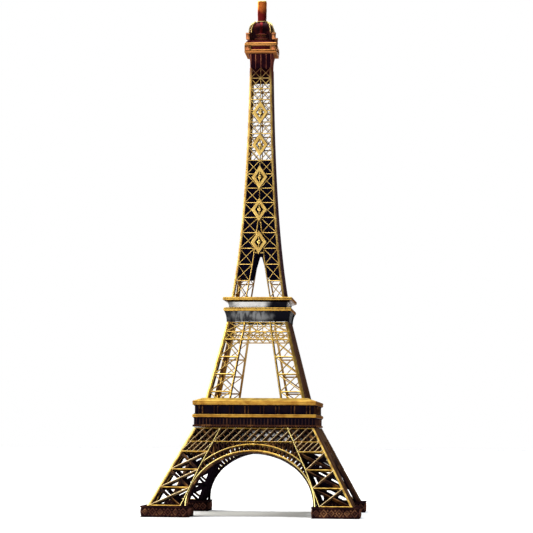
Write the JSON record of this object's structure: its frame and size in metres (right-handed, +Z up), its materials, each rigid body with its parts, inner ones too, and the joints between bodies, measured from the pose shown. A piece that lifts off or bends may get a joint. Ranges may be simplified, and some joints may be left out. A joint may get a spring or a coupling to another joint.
{
  "type": "miniature lattice tower",
  "caption": "Souvenir model of a lattice tower: arched splayed legs, railed platforms, a curved openwork spire and a cupola with a mast.",
  "frame": {"origin": "on the ground under the middle of the tower, at the level of the feet's undersides", "axes": "+Z up the tower, -Y out of the front that carries the ornaments, +X to the right as seen from the front"},
  "size_m": [0.1002, 0.1002, 0.25],
  "materials": {
    "gold_lattice": "antique gold plating, polished on the ridges and dark in the recesses",
    "gold_moulding": "bright orange-gold plating, lightly brushed",
    "dark_gallery": "blackened bronze, glossy, faintly violet",
    "dark_lattice": "blackened bronze with gold on the edges",
    "dark_feet": "dark reddish-brown patina with worn gold relief",
    "copper_top": "coppery orange gold, darker towards the bottom",
    "dark_top": "dark red-brown patina"
  },
  "bodies": {
    "root": {"cupola": "dark_top", "cupola_buttress_back_left": "copper_top", "cupola_buttress_back_right": "copper_top", "cupola_buttress_front_left": "copper_top", "cupola_buttress_front_right": "copper_top", "cupola_plinth": "dark_top", "first_platform_band": "dark_gallery", "first_platform_belt": "gold_moulding", "first_platform_deck": "gold_moulding", "first_platform_gallery": "dark_gallery", "foot_back_left": "dark_feet", "foot_back_right": "dark_feet", "foot_front_left": "dark_feet", "foot_front_right": "dark_feet", "frieze_backing_frame": "dark_gallery", "front_ornament_1": "gold_moulding", "front_ornament_2": "gold_moulding", "front_ornament_3": "gold_moulding", "front_ornament_4": "gold_moulding", "front_ornament_5": "gold_moulding", "lower_panel_back": "gold_lattice", "lower_panel_front": "gold_lattice", "lower_panel_left": "gold_lattice", "lower_panel_right": "gold_lattice", "lower_web_back_left_a": "dark_lattice", "lower_web_back_left_b": "dark_lattice", "lower_web_back_right_a": "dark_lattice", "lower_web_back_right_b": "dark_lattice", "lower_web_front_left_a": "dark_lattice", "lower_web_front_left_b": "dark_lattice", "lower_web_front_right_a": "dark_lattice", "lower_web_front_right_b": "dark_lattice", "mast": "copper_top", "middle_panel_back": "gold_lattice", "middle_panel_front": "gold_lattice", "middle_panel_left": "gold_lattice", "middle_panel_right": "gold_lattice", "second_platform_deck": "gold_moulding", "second_platform_neck": "dark_gallery", "second_platform_ring": "gold_moulding", "second_platform_skirt": "dark_gallery", "spire_core": "dark_gallery", "spire_head": "dark_gallery", "spire_panel_back": "gold_lattice", "spire_panel_front": "gold_lattice", "spire_panel_left": "gold_lattice", "spire_panel_right": "gold_lattice", "top_gallery": "copper_top"}
  },
  "joints": []
}
